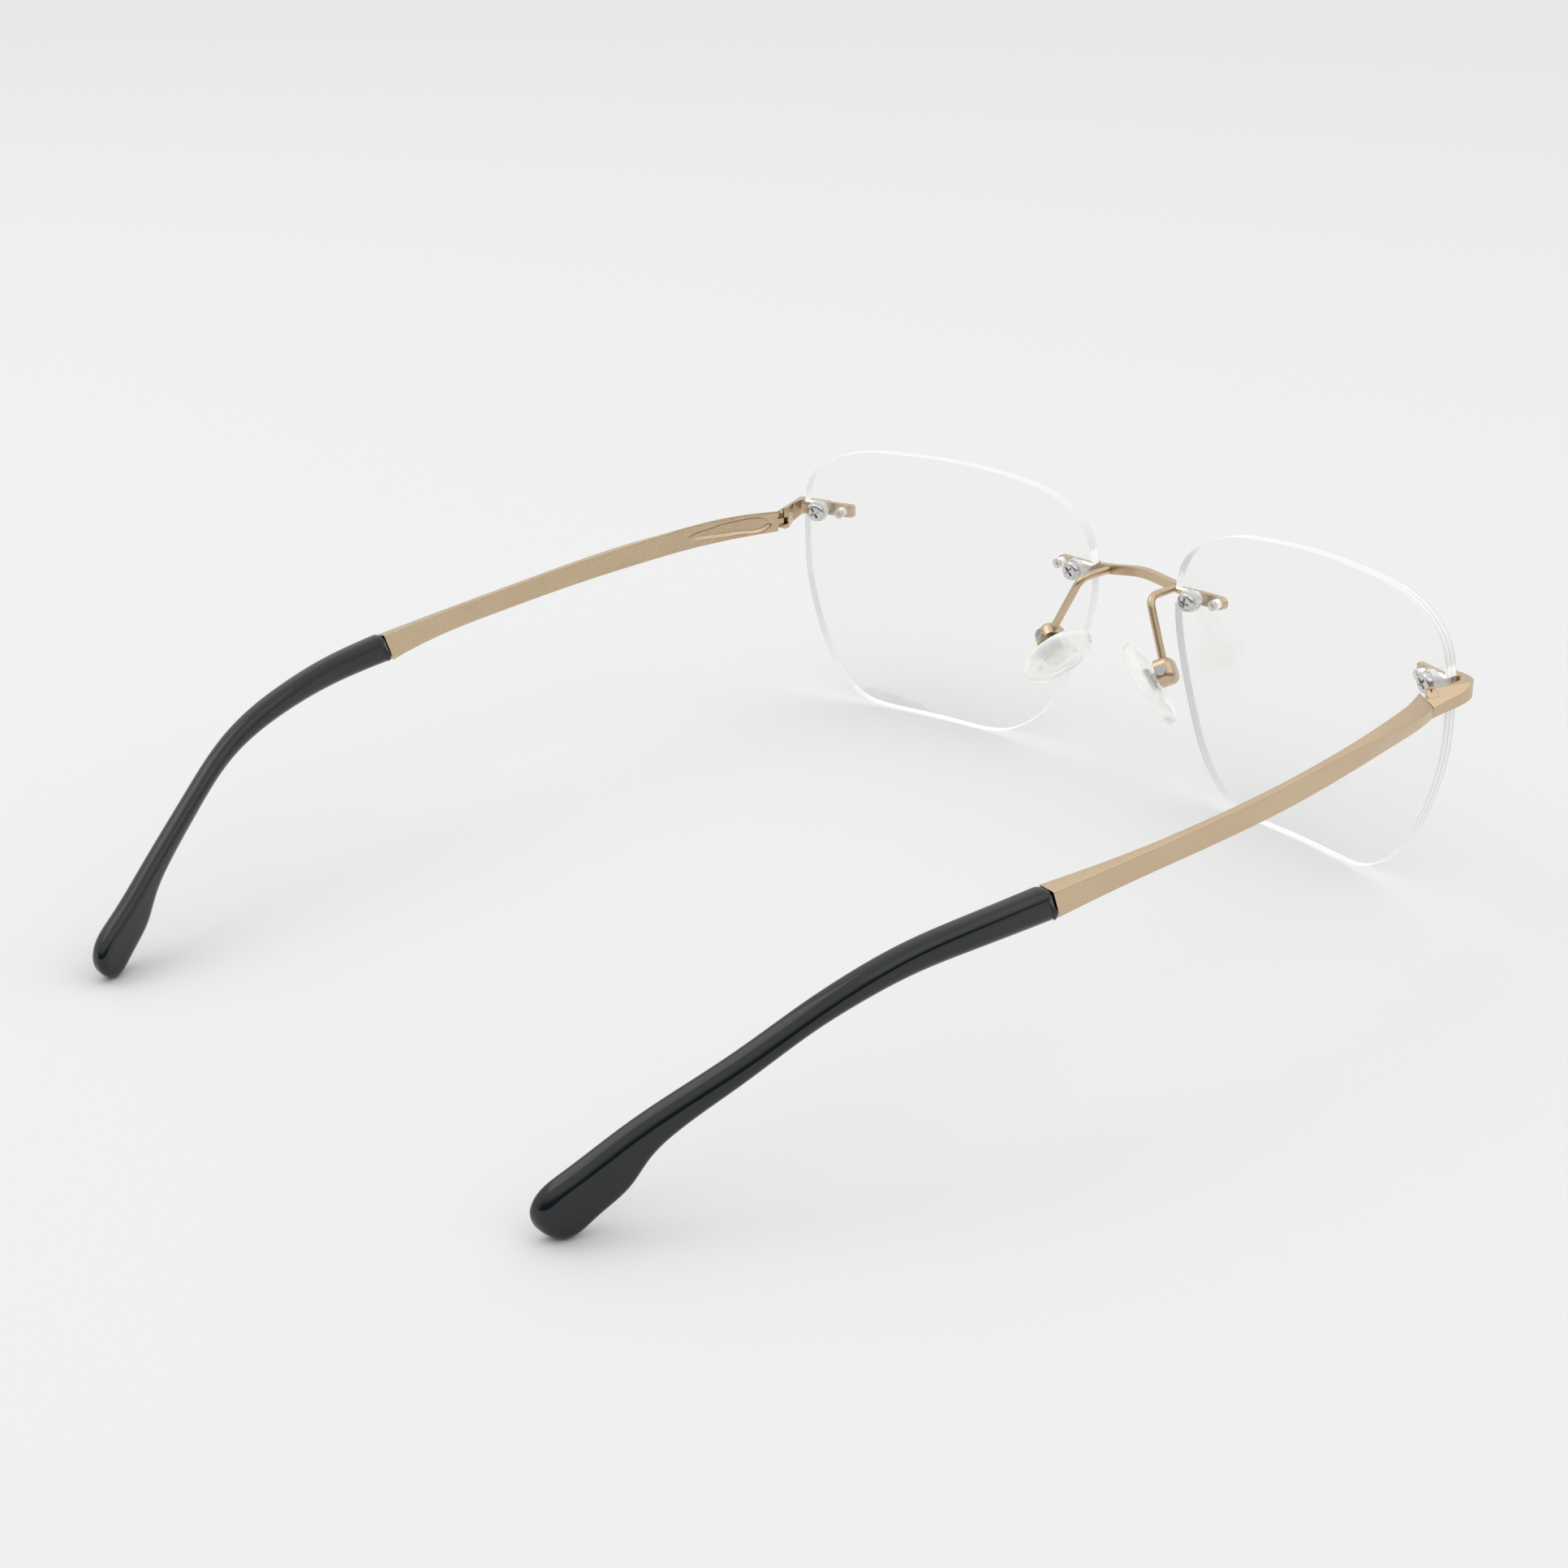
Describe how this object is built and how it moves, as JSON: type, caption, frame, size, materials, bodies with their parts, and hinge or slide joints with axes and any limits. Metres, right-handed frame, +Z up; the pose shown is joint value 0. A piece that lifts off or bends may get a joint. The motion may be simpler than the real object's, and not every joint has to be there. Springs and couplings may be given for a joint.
{
  "type": "rimless eyeglasses",
  "caption": "Rimless eyeglasses: two clear lenses screwed to an arched metal bridge and endpieces, rocking nose pads, and slim metal temples with dark plastic tips that fold inward.",
  "frame": {"origin": "middle of the overall width and depth, on the ground that the lens bottoms and the temple tips stand on", "axes": "+X to the wearer's left, +Y from the front towards the ears along the open temples, +Z up"},
  "size_m": [0.1336, 0.1566, 0.0425],
  "materials": {
    "clear_lens": "polished clear demonstration lens",
    "gold_metal": "fine lengthwise brushed pale gold plating",
    "gold_screw": "satin gold plating",
    "silver_screw": "polished steel",
    "clear_plastic": "clear moulded plastic",
    "silicone": "clear soft silicone",
    "dark_acetate": "polished near-black acetate"
  },
  "bodies": {
    "front": {"lens_left": "clear_lens", "lens_right": "clear_lens", "bridge": "gold_metal", "endpiece_left": "gold_metal", "endpiece_right": "gold_metal", "hinge_screw_left": "gold_screw", "hinge_screw_right": "gold_screw", "nasal_screw_left": "silver_screw", "nasal_screw_right": "silver_screw", "nasal_washer_left": "clear_plastic", "nasal_washer_right": "clear_plastic", "nasal_bushing_left": "clear_plastic", "nasal_bushing_right": "clear_plastic", "nasal_peg_sleeve_left": "clear_plastic", "nasal_peg_sleeve_right": "clear_plastic", "temporal_screw_left": "silver_screw", "temporal_screw_right": "silver_screw", "temporal_washer_left": "clear_plastic", "temporal_washer_right": "clear_plastic", "temporal_bushing_left": "clear_plastic", "temporal_bushing_right": "clear_plastic", "temporal_peg_sleeve_left": "clear_plastic", "temporal_peg_sleeve_right": "clear_plastic", "pad_arm_left": "gold_metal", "pad_arm_right": "gold_metal", "pad_box_left": "gold_metal", "pad_box_right": "gold_metal", "pad_screw_left": "silver_screw", "pad_screw_right": "silver_screw"},
    "temple_left": {"temple_left": "gold_metal", "temple_tip_left": "dark_acetate"},
    "temple_right": {"temple_right": "gold_metal", "temple_tip_right": "dark_acetate"},
    "pad_left": {"nose_pad_left": "silicone", "pad_insert_left": "silver_screw"},
    "pad_right": {"nose_pad_right": "silicone", "pad_insert_right": "silver_screw"}
  },
  "joints": [
    {"name": "temple_left_fold", "type": "hinge", "parent": "front", "child": "temple_left", "pos_m": [0.06215, -0.06105, 0.03], "axis": [0, 0, 1], "range_deg": [0, 86]},
    {"name": "temple_right_fold", "type": "hinge", "parent": "front", "child": "temple_right", "pos_m": [-0.06215, -0.06105, 0.03], "axis": [0, 0, -1], "range_deg": [0, 80]},
    {"name": "pad_left_rock", "type": "hinge", "parent": "front", "child": "pad_left", "pos_m": [0.0111, -0.0695, 0.0199], "axis": [-0.3146, -0.8514, -0.4197], "range_deg": [-25, 4]},
    {"name": "pad_right_rock", "type": "hinge", "parent": "front", "child": "pad_right", "pos_m": [-0.0111, -0.0695, 0.0199], "axis": [-0.3146, 0.8514, 0.4197], "range_deg": [-25, 4]}
  ]
}
